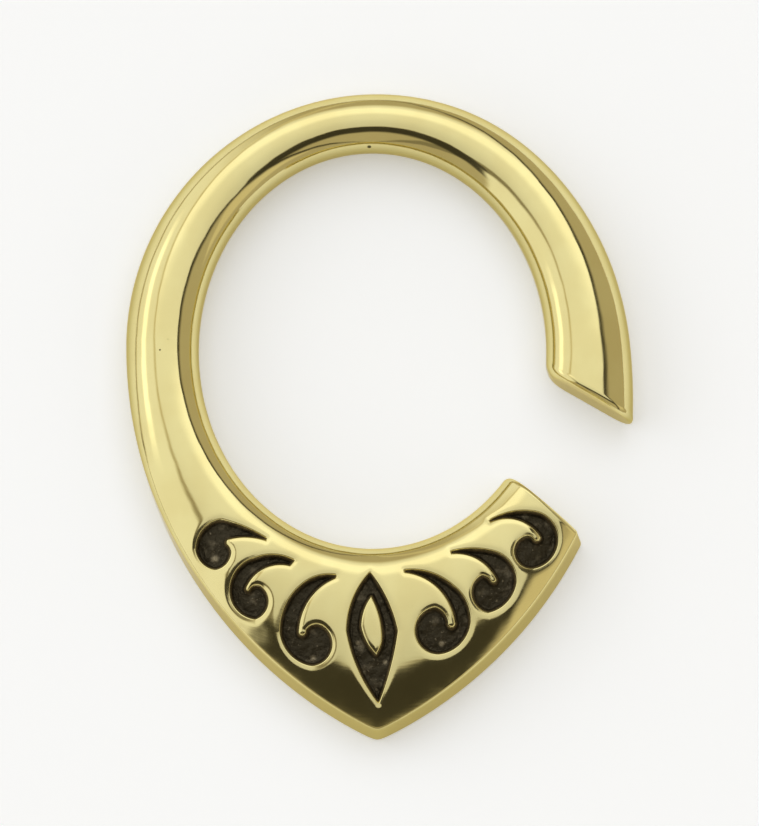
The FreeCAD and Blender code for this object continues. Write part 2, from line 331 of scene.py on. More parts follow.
class Casting:
    """The weight's shape in millimetres from the ring's centre, worked out from its sizes."""

    def __init__(self, sizes):
        self.half_width = sizes.ring_half_width / MM
        self.half_height = sizes.ring_half_height / MM
        self.tip_drop = sizes.tip_drop / MM
        self.hole_half_width = sizes.hole_half_width / MM
        self.hole_half_height = sizes.hole_half_height / MM
        self.hole_centre = np.array(sizes.hole_centre) / MM
        self.swell = sizes.swell / MM
        self.waist = sizes.waist / MM
        self.ridge_softness = sizes.ridge_softness / sizes.tip_drop

    def hole_reach(self, dx, dy):
        """Distance from the ring's centre to the oval hole's wall."""
        across, along = self.hole_half_width, self.hole_half_height
        cx, cy = self.hole_centre
        a = (dx / across) ** 2 + (dy / along) ** 2
        b = -2.0 * (dx * cx / across**2 + dy * cy / along**2)
        c = (cx / across) ** 2 + (cy / along) ** 2 - 1.0
        return (-b + np.sqrt(b * b - 4.0 * a * c)) / (2.0 * a)

    def outer_reach(self, turn, dx, dy):
        """Distance to the outline: a half oval above, two arcs that meet in a softened tip below."""
        oval = 1.0 / np.hypot(dx / self.half_width, dy / self.half_height)
        leg_centre = (self.tip_drop**2 - self.half_width**2) / (2.0 * self.half_width)
        leg_radius = leg_centre + self.half_width
        along = -np.hypot(dx, self.ridge_softness) * leg_centre
        legs = along + np.sqrt(along**2 + leg_radius**2 - leg_centre**2)
        swell = np.maximum(0.0, (turn - SWELL_FROM) / (SWELL_TO - SWELL_FROM))
        waist = np.clip((turn - WAIST_FROM) / (WAIST_TO - WAIST_FROM), 0.0, 1.0)
        drawn_in = self.waist * np.sin(math.pi * waist) ** 2
        return np.where(dy >= 0.0, oval, legs) + self.swell * swell**2 - drawn_in

    def section(self, turn):
        """What a cross section is drawn from, at each turn."""
        s = SimpleNamespace(**{name: along_table(turn, name) for name in Section._fields[1:]})
        angle = np.radians(270.0 - turn)
        s.dx, s.dy = np.cos(angle), np.sin(angle)
        s.inner = self.hole_reach(s.dx, s.dy)
        s.outer = self.outer_reach(turn, s.dx, s.dy)
        s.crest_reach = s.inner + s.crest * (s.outer - s.inner)
        s.slope = np.radians(s.face_slope)
        s.wall_lean = np.radians(s.lean)
        s.corner = s.back + s.back_radius
        fall = np.tan(s.slope / 2.0)
        rise = s.height - s.rim_radius + s.crest_reach * fall - s.corner
        foot = (s.outer - s.back_radius) * np.cos(s.wall_lean) + s.back_radius - s.rim_radius
        s.rim_reach = (foot - rise * np.sin(s.wall_lean)) / (np.cos(s.wall_lean) - fall * np.sin(s.wall_lean))
        s.rim_centre = s.height - s.rim_radius - (s.rim_reach - s.crest_reach) * fall
        s.face_radius = (s.rim_reach - s.crest_reach) / np.sin(s.slope) + s.rim_radius
        s.hole_top = s.height - s.hole_depth
        return s

    def skin(self, turn, part, share):
        """Points on the skin: turn round the ring, part of the cross section and share along that part."""
        s = self.section(turn)
        quarter = share * math.pi / 2.0
        sin, cos = np.sin(quarter), np.cos(quarter)
        to_rim = math.pi / 2.0 - s.slope
        back_angle = share * (math.pi / 2.0 + s.wall_lean) - math.pi / 2.0
        rim_angle = s.wall_lean + share * (to_rim - s.wall_lean)
        face_angle = to_rim + share * s.slope
        back_reach = s.outer - s.back_radius
        radius = s.back_radius + share * (s.rim_radius - s.back_radius)
        flat = s.back_radius + share * (s.outer - s.inner - 2.0 * s.back_radius)
        curves = {
            OUTER_BACK: (
                back_reach + s.back_radius * np.cos(back_angle),
                s.corner + s.back_radius * np.sin(back_angle),
            ),
            OUTER_WALL: (
                back_reach + share * (s.rim_reach - back_reach) + radius * np.cos(s.wall_lean),
                s.corner + share * (s.rim_centre - s.corner) + radius * np.sin(s.wall_lean),
            ),
            RIM: (
                s.rim_reach + s.rim_radius * np.cos(rim_angle),
                s.rim_centre + s.rim_radius * np.sin(rim_angle),
            ),
            FACE: (
                s.crest_reach + s.face_radius * np.cos(face_angle),
                s.height - s.face_radius * (1.0 - np.sin(face_angle)),
            ),
            INTO_HOLE: (
                s.crest_reach - (s.crest_reach - s.inner) * sin,
                s.hole_top + s.hole_depth * cos,
            ),
            INNER_WALL: (s.inner, s.hole_top + share * (s.corner - s.hole_top)),
            INNER_BACK: (s.inner + s.back_radius * (1.0 - cos), s.corner - s.back_radius * sin),
            BACK: (s.inner + flat, s.back),
        }
        reach, height = (np.choose(part, [curves[name][k] for name in sorted(curves)]) for k in (0, 1))
        lapped = np.maximum(height, 0.0)
        return np.stack([s.dx * reach, s.dy * reach, lapped], axis=-1)

    def skin_normals(self, turn, part, share):
        """Directions out of the skin at those points."""
        small = 0.01
        round_ring = self.skin(turn + small, part, share) - self.skin(turn - small, part, share)
        round_bar = self.skin(turn, part, share + small) - self.skin(turn, part, share - small)
        return unit(np.cross(round_bar, round_ring))

    def face_height(self, x, y):
        """Height of the uncarved face over points in plan."""
        turn = (450.0 - np.degrees(np.arctan2(y, x))) % 360.0 - 180.0
        s = self.section(turn)
        out = np.hypot(x, y) - s.crest_reach
        over = s.height - s.face_radius + np.sqrt(np.maximum(s.face_radius**2 - out**2, 0.0))
        share = np.clip(-out / (s.crest_reach - s.inner), 0.0, 1.0)
        return np.where(out >= 0.0, over, s.hole_top + s.hole_depth * np.sqrt(1.0 - share**2))

    def face_slopes(self, x, y):
        """How fast the uncarved face rises along X and along Y."""
        small = 0.001
        along_x = self.face_height(x + small, y) - self.face_height(x - small, y)
        along_y = self.face_height(x, y + small) - self.face_height(x, y - small)
        return along_x / (2.0 * small), along_y / (2.0 * small)


def steps_round_section():
    """Part and share of each step round a cross section."""
    part = np.concatenate([np.full(steps, k) for k, steps in enumerate(PART_STEPS)])
    share = np.concatenate([np.arange(steps) / steps for steps in PART_STEPS])
    return part, share


def end_rows(casting, cut):
    """Rows that lead from a radial section to a straight cut end and round over its edge, and its middle."""
    part, share = steps_round_section()
    angle = math.radians(cut.direction)
    outwards = np.array([math.cos(angle), math.sin(angle), 0.0])
    into_metal = np.array([-math.sin(angle), math.cos(angle), 0.0]) * cut.kept
    start = np.array([*cut.start, 0.0])
    turns = np.linspace(cut.from_turn, cut.past_turn, TRIAL_TURNS)
    distance = (casting.skin(turns[:, None], part[None], share[None]) - start) @ into_metal

    def turn_at(wanted):
        return np.array([np.interp(-one, -column, turns) for one, column in zip(wanted, distance.T)])

    on_cut = casting.skin_normals(turn_at(np.zeros(len(part))), part, share)
    hole_side = np.maximum(-(on_cut @ outwards), 0.0) ** 2
    radius = cut.edge_radius + (cut.corner_radius - cut.edge_radius) * hole_side
    first = turn_at(radius + ROWS_TO_END[0])
    turn_rows = [
        cut.from_turn + (first - cut.from_turn) * k / BLEND_ROWS for k in range(1, BLEND_ROWS)
    ]
    turn_rows += [turn_at(radius + beyond) for beyond in ROWS_TO_END]
    points = [casting.skin(row, part, share) for row in turn_rows]
    normals = [casting.skin_normals(row, part, share) for row in turn_rows]
    for k in range(EDGE_STEPS + 1):
        over = math.radians(90.0) * k / EDGE_STEPS
        row = turn_at(radius * (1.0 - math.sin(over)))
        loop = casting.skin(row, part, share)
        outward = casting.skin_normals(row, part, share)
        outward = unit(outward - np.outer(outward @ into_metal, into_metal))
        points.append(loop - outward * (radius * (1.0 - math.cos(over)))[:, None])
        normals.append(outward * math.cos(over) - into_metal * math.sin(over))
    edge = points[-1]
    middle = edge.mean(axis=0)
    for ring in CAP_RINGS:
        points.append(middle + (edge - middle) * ring)
        normals.append(np.broadcast_to(-into_metal, edge.shape))
    return np.array(points), np.array(normals), middle, -into_metal


def arc_through(start, middle, end):
    """Points in plan along the arc through three points, without the last one."""
    (ax, ay), (bx, by), (cx, cy) = start, middle, end
    turn = 2.0 * (ax * (by - cy) + bx * (cy - ay) + cx * (ay - by))
    a2, b2, c2 = ax * ax + ay * ay, bx * bx + by * by, cx * cx + cy * cy
    x = (a2 * (by - cy) + b2 * (cy - ay) + c2 * (ay - by)) / turn
    y = (a2 * (cx - bx) + b2 * (ax - cx) + c2 * (bx - ax)) / turn
    radius = math.hypot(ax - x, ay - y)
    first = math.atan2(ay - y, ax - x)
    sweep = (math.atan2(cy - y, cx - x) - first) % (2.0 * math.pi)
    passed = (math.atan2(by - y, bx - x) - first) % (2.0 * math.pi)
    if passed > sweep:
        sweep -= 2.0 * math.pi
    steps = max(2, round(abs(sweep) * radius / FINE_STEP))
    angles = first + sweep * np.arange(steps) / steps
    return np.stack([x + radius * np.cos(angles), y + radius * np.sin(angles)], axis=-1)


def arc_outline(points):
    """Fine points round a closed outline of arcs; an odd last point joins the first by a line."""
    parts = []
    for first in range(0, len(points) - 1, 2):
        end = points[(first + 2) % len(points)]
        parts.append(arc_through(points[first], points[first + 1], end))
    if len(points) % 2:
        last, first = np.array(points[-1]), np.array(points[0])
        steps = max(2, round(np.linalg.norm(first - last) / FINE_STEP))
        parts.append(last + (first - last) * np.arange(steps)[:, None] / steps)
    return np.concatenate(parts)


def search_tree(points):
    """Points in plan, ready for finding the nearest."""
    tree = KDTree(len(points))
    for index, (x, y) in enumerate(points):
        tree.insert((x, y, 0.0), index)
    tree.balance()
    return tree


class Carving:
    """The carving's outlines in plan, and how far inside them a point lies."""

    def __init__(self, sizes):
        self.depth = sizes.carving_depth / MM
        self.slump = sizes.slump / MM
        self.slump_width = sizes.slump_width / MM
        self.loops = []
        for points, inside in [(scroll, 1.0) for scroll in SCROLLS] + [(LEAF, 1.0), (HEART, -1.0)]:
            loop = arc_outline(points)
            ahead = np.roll(loop, -1, axis=0)
            area = np.sum(loop[:, 0] * ahead[:, 1] - ahead[:, 0] * loop[:, 1])
            self.loops.append(loop if area * inside > 0.0 else loop[::-1])
        self.points = np.concatenate(self.loops)
        self.ahead = np.concatenate([np.roll(loop, -1, axis=0) for loop in self.loops])
        self.behind = np.concatenate([np.roll(loop, 1, axis=0) for loop in self.loops])
        along = unit(self.ahead - self.points) + unit(self.points - self.behind)
        self.inward = unit(np.stack([-along[:, 1], along[:, 0]], axis=-1))
        self.tree = search_tree(self.points)

    def inside(self, points):
        """Distance in from the nearest outline, below 0 outside it, and the direction that it grows in."""
        nearest = np.array([self.tree.find((x, y, 0.0))[1] for x, y in points])
        corner = self.points[nearest]
        best = points - corner
        for other in (self.ahead[nearest], self.behind[nearest]):
            edge = other - corner
            share = np.sum((points - corner) * edge, axis=1) / np.sum(edge * edge, axis=1)
            gap = points - corner - edge * np.clip(share, 0.0, 1.0)[:, None]
            closer = np.sum(gap * gap, axis=1) < np.sum(best * best, axis=1)
            best[closer] = gap[closer]
        inward = self.inward[nearest]
        sign = np.where(np.sum((points - corner) * inward, axis=1) >= 0.0, 1.0, -1.0)
        distance = np.linalg.norm(best, axis=1)
        direction = np.where(distance[:, None] > FINE_STEP, unit(best) * sign[:, None], inward)
        return distance * sign, direction

    def drop(self, inside):
        """How far the carved surface lies below the face, and how fast it falls inwards."""
        share = np.clip((inside - WALL_START) / (WALL_END - WALL_START), 0.0, 1.0)
        wall = (self.depth - self.slump) * share * share * (3.0 - 2.0 * share)
        wall_slope = (self.depth - self.slump) * 6.0 * share * (1.0 - share) / (WALL_END - WALL_START)
        outside = np.minimum(inside, 0.0) / self.slump_width
        slump = self.slump * np.exp(-(outside**2))
        return wall + slump, wall_slope - 2.0 * outside / self.slump_width * slump

    def wall_rows(self, loop):
        """Points in plan that follow an outline on both sides of it."""
        closed = np.concatenate([loop, loop[:1]])
        lengths = np.linalg.norm(np.diff(closed, axis=0), axis=1)
        along = np.concatenate([[0.0], np.cumsum(lengths)])

        def on_loop(at):
            return np.stack([np.interp(at % along[-1], along, closed[:, k]) for k in (0, 1)], axis=-1)

        count = round(along[-1] / OUTLINE_STEP)
        at = along[-1] * np.arange(count) / count
        ahead = unit(on_loop(at + FINE_STEP) - on_loop(at - FINE_STEP))
        inward = np.stack([-ahead[:, 1], ahead[:, 0]], axis=-1)
        rows = []
        for row in WALL_ROWS:
            points = on_loop(at) + inward * row
            distance, _ = self.inside(points)
            rows.append(points[np.abs(distance - row) < ROW_MISS])
        return np.concatenate(rows)

    def mesh_points(self):
        """Points in plan that follow the walls and fill the floors."""
        walls = thinned(np.concatenate([self.wall_rows(loop) for loop in self.loops]), LEAST_GAP)
        low, high = self.points.min(axis=0) - FILL_MARGIN, self.points.max(axis=0) + FILL_MARGIN
        across = np.arange(low[0], high[0], FILL_STEP)
        up = np.arange(low[1], high[1], FILL_STEP * math.sqrt(0.75))
        grid_x, grid_y = np.meshgrid(across, up)
        grid_x[1::2] += FILL_STEP / 2.0
        fill = np.stack([grid_x.ravel(), grid_y.ravel()], axis=-1)
        distance, _ = self.inside(fill)
        fill = fill[distance > CLEAR_OF_WALL + FILL_GAP / 2.0]
        near = search_tree(walls)
        room = np.array([near.find((x, y, 0.0))[2] for x, y in fill])
        return np.concatenate([walls, fill[room > FILL_GAP]])


def thinned(points, gap):
    """The points without those that lie nearer than a gap to one before them."""
    kept, cells = [], {}
    for x, y in points:
        cell = (math.floor(x / gap), math.floor(y / gap))
        around = [
            other
            for column in (-1, 0, 1)
            for line in (-1, 0, 1)
            for other in cells.get((cell[0] + column, cell[1] + line), ())
        ]
        if all(math.hypot(x - a, y - b) >= gap for a, b in around):
            cells.setdefault(cell, []).append((x, y))
            kept.append((x, y))
    return np.array(kept)


def skin_grid(casting):
    """Rows of points and normals from the panel's cut end round the ring to the bar's, with both middles."""
    part, share = steps_round_section()
    before = np.arange(PANEL_END.from_turn, -RIDGE_TURN, TURN_STEP)
    ridge = np.arange(-RIDGE_TURN, RIDGE_TURN + RIDGE_STEP / 2.0, RIDGE_STEP)
    after = np.arange(math.ceil(RIDGE_TURN), CARVED_TO_TURN, TURN_STEP)
    beyond = np.arange(CARVED_TO_TURN, BAR_END.from_turn + TURN_STEP / 2.0, TURN_STEP)
    turns = np.concatenate([before, ridge, after, beyond])[:, None]
    points = casting.skin(turns, part[None], share[None])
    normals = casting.skin_normals(turns, part[None], share[None])
    panel_points, panel_normals, panel_middle, panel_out = end_rows(casting, PANEL_END)
    bar_points, bar_normals, bar_middle, bar_out = end_rows(casting, BAR_END)
    rows = np.concatenate([panel_points[::-1], points, bar_points])
    row_normals = np.concatenate([panel_normals[::-1], normals, bar_normals])
    ends = [(panel_middle, panel_out), (bar_middle, bar_out)]
    carved_from = len(CAP_RINGS) + EDGE_STEPS + 1
    carved_to = len(panel_points) + len(before) + len(ridge) + len(after)
    return rows, row_normals, ends, (carved_from, carved_to)


def weight_mesh(casting, carving):
    """Points, normals, distances inside the carving and faces of the whole weight, in millimetres."""
    grid, grid_normals, ends, (row_from, row_to) = skin_grid(casting)
    rows, columns = grid.shape[:2]
    number = np.arange(rows * columns).reshape(rows, columns)
    points = grid.reshape(-1, 3)
    normals = grid_normals.reshape(-1, 3)
    carved = np.zeros((rows - 1, columns), bool)
    carved[row_from:row_to, CARVED_FROM_STEP:CARVED_TO_STEP] = True
    beside = np.roll(number, -1, axis=1)
    quads = np.stack([number[:-1], beside[:-1], beside[1:], number[1:]], axis=-1)
    faces = [tuple(map(int, quad)) for quad in quads[~carved]]
    first, last = len(points), len(points) + 1
    faces += [(first, int(b), int(a)) for a, b in zip(number[0], beside[0])]
    faces += [(last, int(a), int(b)) for a, b in zip(number[-1], beside[-1])]
    points = np.concatenate([points, [middle for middle, _ in ends]])
    normals = np.concatenate([normals, [out for _, out in ends]])

    patch = number[row_from:row_to + 1, CARVED_FROM_STEP:CARVED_TO_STEP + 1]
    border = np.concatenate([patch[0, :-1], patch[:-1, -1], patch[-1, :0:-1], patch[:0:-1, 0]])
    within = patch[1:-1, 1:-1].ravel()
    distance, _ = carving.inside(points[within, :2])
    within = within[distance < CLEAR_OF_WALL]
    kept = np.concatenate([border, within])
    cut = carving.mesh_points()
    cut_height = casting.face_height(*cut.T)
    cut_numbers = len(points) + np.arange(len(cut))
    points = np.concatenate([points, np.column_stack([cut, cut_height])])
    all_numbers = np.concatenate([kept, cut_numbers])
    plan = [Vector(point) for point in points[all_numbers, :2]]
    loop = list(range(len(border)))
    inside_only, same_place = 1, 1e-7
    result = delaunay_2d_cdt(plan, [], [loop], inside_only, same_place)
    new_faces, origins = result[2], result[3]
    if any(len(origin) != 1 for origin in origins):
        raise RuntimeError("the carved patch has crossing or doubled points")
    faces += [
        tuple(int(all_numbers[origins[corner][0]]) for corner in face) for face in new_faces
    ]

    face_numbers = np.concatenate([patch.ravel(), cut_numbers])
    x, y = points[face_numbers, 0], points[face_numbers, 1]
    inside, direction = carving.inside(points[face_numbers, :2])
    drop, fall = carving.drop(inside)
    rise_x, rise_y = casting.face_slopes(x, y)
    points[face_numbers, 2] -= drop
    normals = np.concatenate([normals, np.zeros((len(cut), 3))])
    slope_x = rise_x - fall * direction[:, 0]
    slope_y = rise_y - fall * direction[:, 1]
    normals[face_numbers] = unit(np.column_stack([-slope_x, -slope_y, np.ones(len(x))]))
    depths = np.full(len(points), -1.0)
    depths[face_numbers] = np.clip(inside, -1.0, 1.0)
    return points, normals, depths, faces


class Nodes:
    """A node tree and what is made in it. A value is a number, a colour, or a socket that is linked."""

    def __init__(self, tree):
        tree.nodes.clear()
        self.tree = tree

    def make(self, kind, inputs=(), **settings):
        """The outputs of a new node, with its inputs given by name or in order."""
        made = self.tree.nodes.new("ShaderNode" + kind)
        for name, value in settings.items():
            setattr(made, name, value)
        for key, value in inputs.items() if isinstance(inputs, dict) else enumerate(inputs):
            socket = made.inputs[key]
            if isinstance(value, bpy.types.NodeSocket):
                self.tree.links.new(value, socket)
            elif socket.type == "RGBA":
                socket.default_value = (*value, 1.0)
            else:
                socket.default_value = value
        return made.outputs

    def maths(self, operation, *values):
        """The result of an operation on numbers."""
        return self.make("Math", values, operation=operation)["Value"]

    def vectors(self, operation, *values):
        """Both results of an operation on vectors."""
        return self.make("VectorMath", values, operation=operation)

    def ramp(self, value, start, end, from_value=0.0, to_value=1.0):
        """A smooth step from one value to another, while value goes from start to end."""
        inputs = {
            "Value": value, "From Min": start, "From Max": end, "To Min": from_value, "To Max": to_value
        }
        return self.make("MapRange", inputs, interpolation_type="SMOOTHSTEP")["Result"]

    def window(self, value, span):
        """1 over a span, fading to 0 outside it."""
        rise = self.ramp(value, span.low - span.low_fade, span.low)
        fall = self.ramp(value, span.high + span.high_fade, span.high)
        return self.maths("MULTIPLY", rise, fall)

    def mixed(self, share, one, two, kind="FLOAT"):
        """From one to two by a share."""
        return self.make("Mix", {"Factor": share, "A": one, "B": two}, data_type=kind)["Result"]

    def with_spots(self, value, spots, place, centre, flat, most):
        """A value that rises in round spots, to most over the flat share of each one's radius."""
        for one in spots:
            spot = (centre[0] + one.x * MM, centre[1] + one.y * MM, one.z * MM)
            away = self.vectors("DISTANCE", place, spot)["Value"]
            rise = self.ramp(away, flat * one.radius * MM, one.radius * MM, most, 0.0)
            value = self.maths("MAXIMUM", value, rise)
        return value

    def noise(self, noise, place):
        """A noise at a place."""
        inputs = {"Vector": place, "W": noise.seed, "Scale": noise.scale, "Detail": noise.detail}
        return self.make("TexNoise", inputs, noise_dimensions="4D")["Fac"]

    def bump(self, height, strength, depth, under=None):
        """The normal of a skin that is raised by height, over what lies under it."""
        inputs = {"Strength": strength, "Distance": depth, "Height": height}
        if under:
            inputs["Normal"] = under
        return self.make("Bump", inputs)["Normal"]


def carving_black(nodes, place, finish, centre):
    """Where the brass is blackened, where that is worn, and the black's colour.

    The carving's walls are brown and its floors black, both ragged, with metal showing through in specks.
    """
    depth = nodes.make("Attribute", attribute_name="inside_carving")["Fac"]
    ragged = nodes.maths("SUBTRACT", nodes.noise(RAGGED_NOISE, place), 0.5)
    sunk = nodes.maths("MULTIPLY_ADD", ragged, RAGGEDNESS, depth)
    floor = nodes.ramp(sunk, *FLOOR_RAMP)
    in_plan = nodes.vectors("MULTIPLY", place, (1.0, 1.0, 0.0))["Vector"]
    worn = nodes.ramp(nodes.noise(RUBBED_NOISE, place), *RUBBED_RAMP)
    worn = nodes.with_spots(worn, WORN_SPOTS, in_plan, centre, 0.0, WORN_IN_SPOTS)
    specks = nodes.ramp(nodes.noise(SPECK_NOISE, place), *SPECK_RAMP)
    worn = nodes.maths("MULTIPLY", nodes.maths("MAXIMUM", worn, specks), floor)
    colour = nodes.mixed(worn, finish.blackening, finish.worn_blackening, "RGBA")
    colour = nodes.mixed(floor, finish.wall_blackening, colour, "RGBA")
    return nodes.ramp(sunk, *BLACK_RAMP), worn, colour


def polishing_streaks(nodes, place, finish, centre):
    """Noise that runs round the ring: fine across it, long along it."""
    from_centre = nodes.vectors("SUBTRACT", place, tuple(centre))["Vector"]
    flat = nodes.vectors("MULTIPLY", from_centre, (1.0, 1.0, 0.0))["Vector"]
    reach = nodes.vectors("LENGTH", flat)["Value"]
    split = nodes.make("SeparateXYZ", (from_centre,))
    turn = nodes.maths("ARCTAN2", split["Y"], split["X"])
    along = nodes.maths("MULTIPLY", turn, finish.streak_length)
    return nodes.noise(STREAK_NOISE, nodes.make("CombineXYZ", (reach, along, split["Z"]))["Vector"])


def casting_pits(nodes, place, centre):
    """Where the casting has pits: a few dots strewn over the skin, and some at known places."""
    cells = nodes.make("TexVoronoi", {"Vector": place, "Scale": DOT_SCALE})
    chance = nodes.make("SeparateXYZ", (cells["Color"],))["X"]
    dots = nodes.ramp(cells["Distance"], *DOT_RAMP)
    pits = nodes.maths("MULTIPLY", dots, nodes.ramp(chance, *RARE_RAMP))
    return nodes.with_spots(pits, PITS, place, centre, PIT_FLAT, 1.0)


def brass_material(finish, centre):
    """Polished cast brass whose carving is blackened and left rough, about the ring's centre in the scene."""
    material = bpy.data.materials.new("polished_brass")
    material.use_nodes = True
    nodes = Nodes(material.node_tree)
    place = nodes.make("TexCoord")["Object"]
    black, worn, black_colour = carving_black(nodes, place, finish, centre)
    pits = casting_pits(nodes, place, centre)

    warmth = nodes.ramp(nodes.noise(WARMTH_NOISE, place), *WARMTH_RAMP)
    colour = nodes.mixed(warmth, finish.brass, finish.brass_shade, "RGBA")
    # Painted shade: the brass darkens low on the sides, standing in for the dimmer reflection of the table in
    # the weight's shadow
    flank_painted_shade = nodes.ramp(nodes.make("SeparateXYZ", (place,))["Z"], *FLANK_PAINTED_SHADE_RAMP)
    colour = nodes.mixed(flank_painted_shade, colour, finish.brass_flank_painted_shade, "RGBA")
    colour = nodes.mixed(black, colour, black_colour, "RGBA")
    colour = nodes.mixed(nodes.maths("MULTIPLY", pits, PIT_BLACKNESS), colour, finish.blackening, "RGBA")

    smear = nodes.ramp(nodes.noise(SMEAR_NOISE, place), *SMEAR_RAMP)
    rough_brass = nodes.maths("MULTIPLY", smear, finish.roughness)
    rough_black = nodes.maths("MULTIPLY_ADD", worn, -SMOOTHER_WHERE_WORN, BLACK_ROUGHNESS)
    metallic = nodes.maths("MULTIPLY_ADD", black, -LESS_METALLIC_BLACK, 1.0)

    streaks = polishing_streaks(nodes, place, finish, centre)
    normal = nodes.bump(nodes.noise(GRAIN_NOISE, place), black, GRAIN_DEPTH)
    normal = nodes.bump(nodes.noise(WAVE_NOISE, place), finish.waviness, WAVE_DEPTH, normal)
    normal = nodes.bump(streaks, STREAK_STRENGTH, STREAK_DEPTH, normal)
    normal = nodes.bump(nodes.maths("SUBTRACT", 1.0, pits), PIT_STRENGTH, PIT_DEPTH, normal)

    shader_inputs = {
        "Base Color": colour,
        "Metallic": metallic,
        "Roughness": nodes.mixed(black, rough_brass, rough_black),
        "Specular Tint": finish.edge_tint,
        "Normal": normal,
    }
    nodes.make("OutputMaterial", {"Surface": nodes.make("BsdfPrincipled", shader_inputs)["BSDF"]})
    return material


def to_object(name, points, faces):
    """A new smooth-shaded mesh object in the scene."""
    mesh = bpy.data.meshes.new(name)
    mesh.from_pydata(points.tolist(), [], faces)
    mesh.shade_smooth()
    made = bpy.data.objects.new(name, mesh)
    bpy.context.scene.collection.objects.link(made)
    return made


def length(name, description, default, least=0.0):
    """A setting that is a length."""
    return FloatProperty(
        name=name, description=description, default=default, min=least, unit="LENGTH", precision=5
    )


def colour(name, description, default):
    """A setting that is a colour."""
    return FloatVectorProperty(
        name=name, description=description, default=default, size=3, min=0.0, max=1.0, subtype="COLOR"
    )


def share(name, description, default, least=0.0):
    """A setting that is a share of 1."""
    return FloatProperty(
        name=name, description=description, default=default, min=least, max=1.0, subtype="FACTOR"
    )


def brightness(name, description, default):
    """A setting that is a brightness."""
    return FloatProperty(name=name, description=description, default=default, min=0.0)


class WeightSizes(bpy.types.PropertyGroup):
    """Sizes of the weight"""

    ring_half_width: length("Ring half width", "From the ring's centre to its side", 21.0 * MM)
    ring_half_height: length("Ring half height", "From the ring's centre to its top", 21.3 * MM)
    tip_drop: length("Tip drop", "From the ring's centre to the panel's tip", 33.2 * MM)
    hole_half_width: length("Hole half width", "Half the hole's width", 14.5 * MM)
    hole_half_height: length("Hole half height", "Half the hole's height", 16.95 * MM)
    hole_centre: FloatVectorProperty(
        name="Hole centre", description="The hole's centre, from the ring's centre",
        default=(-0.4 * MM, -0.57 * MM), size=2, unit="LENGTH", precision=5,
    )
    swell: length("Swell", "How far the bar swells outwards before the gap", 0.8 * MM)
    waist: length("Waist", "How far the bar is drawn in before it swells", 0.35 * MM)
    ridge_softness: length("Ridge softness", "Half width of the rounding at the tip and its ridge", 0.4 * MM)
    carving_depth: length("Carving depth", "How deep the scrolls and the leaf are sunk", 0.8 * MM)
    slump: length("Slump", "How far polishing has sunk the face at the carving's edges", 0.08 * MM)
    slump_width: length(
        "Slump width", "How far from the carving's edges the slump reaches", 0.3 * MM, least=0.01 * MM
    )


class WeightFinish(bpy.types.PropertyGroup):
    """Colours and polish of the weight"""

    brass: colour("Brass", "Colour of the polished brass", (0.80, 0.71, 0.33))
    brass_shade: colour("Brass shade", "Colour of the brass where handling has warmed it", (0.77, 0.67, 0.30))
    # Painted shade: a darker brass low on the sides, which stands in for the dimmer reflection of the table
    # in the weight's shadow
    brass_flank_painted_shade: colour(
        "Brass flank", "Colour of the brass low on the sides, which is less polished", (0.55, 0.47, 0.19)
    )
    edge_tint: colour(
        "Edge tint", "Tint of the brass where it is seen at a shallow angle", (0.88, 0.79, 0.52)
    )
    blackening: colour("Blackening", "Colour of the carving's blackened floors", (0.030, 0.024, 0.014))
    wall_blackening: colour("Wall blackening", "Colour of the carving's walls", (0.13, 0.09, 0.037))
    worn_blackening: colour(
        "Worn blackening", "Colour of the carving where metal shows through", (0.30, 0.25, 0.16)
    )
    roughness: share("Roughness", "Roughness of the polished brass", 0.09)
    waviness: share("Waviness", "How wavy hand polishing has left the skin", 0.6)
    streak_length: length(
        "Streak length", "Distance in the noise that one radian round the ring stands for", 0.8 * MM
    )


class WeightStudio(bpy.types.PropertyGroup):
    """Table, light and camera round the weight"""

    table: colour("Table", "Colour of the table", (0.94, 0.96, 0.99))
    table_glow: brightness("Table glow", "Light that the table gives off by itself", 0.26)
    softbox: brightness("Softbox", "Brightness of the light overhead", 0.98)
    side_softbox: brightness("Side softbox", "Brightness of the light on the left", 1.0)
    room: brightness("Room", "Brightness of the room round the lights", 0.50)
    room_colour: colour("Room colour", "Colour of the room round the lights", (1.0, 0.90, 0.68))
    front_right: brightness("Front right", "Brightness low down in front on the right", 0.72)
    gap: brightness("Gap", "Brightness of the dark gaps beside the lights", 0.05)
    elevation: FloatProperty(
        name="Camera elevation", description="How high the camera stands over the table",
        default=math.radians(80.0), min=0.0, max=math.radians(90.0), subtype="ANGLE",
    )
    lens: FloatProperty(
        name="Lens", description="Focal length", default=250.0, min=1.0, subtype="DISTANCE_CAMERA",
    )
    share_of_frame: share(
        "Share of frame", "Share of the picture's height that the weight fills", 0.78, least=0.1
    )


class EARWEIGHT_OT_casting(bpy.types.Operator):
    """Make the weight's brass casting"""

    bl_idname = "ear_weight.casting"
    bl_label = "Casting"
    bl_options = {"REGISTER", "UNDO"}

    def execute(self, context):
        sizes = context.scene.ear_weight_sizes
        low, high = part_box(NODE)
        centre = np.array([low.x + sizes.ring_half_width, high.y - sizes.ring_half_height, 0.0])
        casting = Casting(sizes)
        carving = Carving(sizes)
        points, normals, depths, faces = weight_mesh(casting, carving)
        weight = to_object("brass_casting", points * MM + centre, faces)
        mesh = weight.data
        attribute = mesh.attributes.new("inside_carving", "FLOAT", "POINT")
        attribute.data.foreach_set("value", depths.astype(np.float32))
        mesh.normals_split_custom_set_from_vertices(normals.tolist())
        mesh.materials.append(brass_material(context.scene.ear_weight_finish, centre))
        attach(weight, BODY)
        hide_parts(NODE)
        return {"FINISHED"}


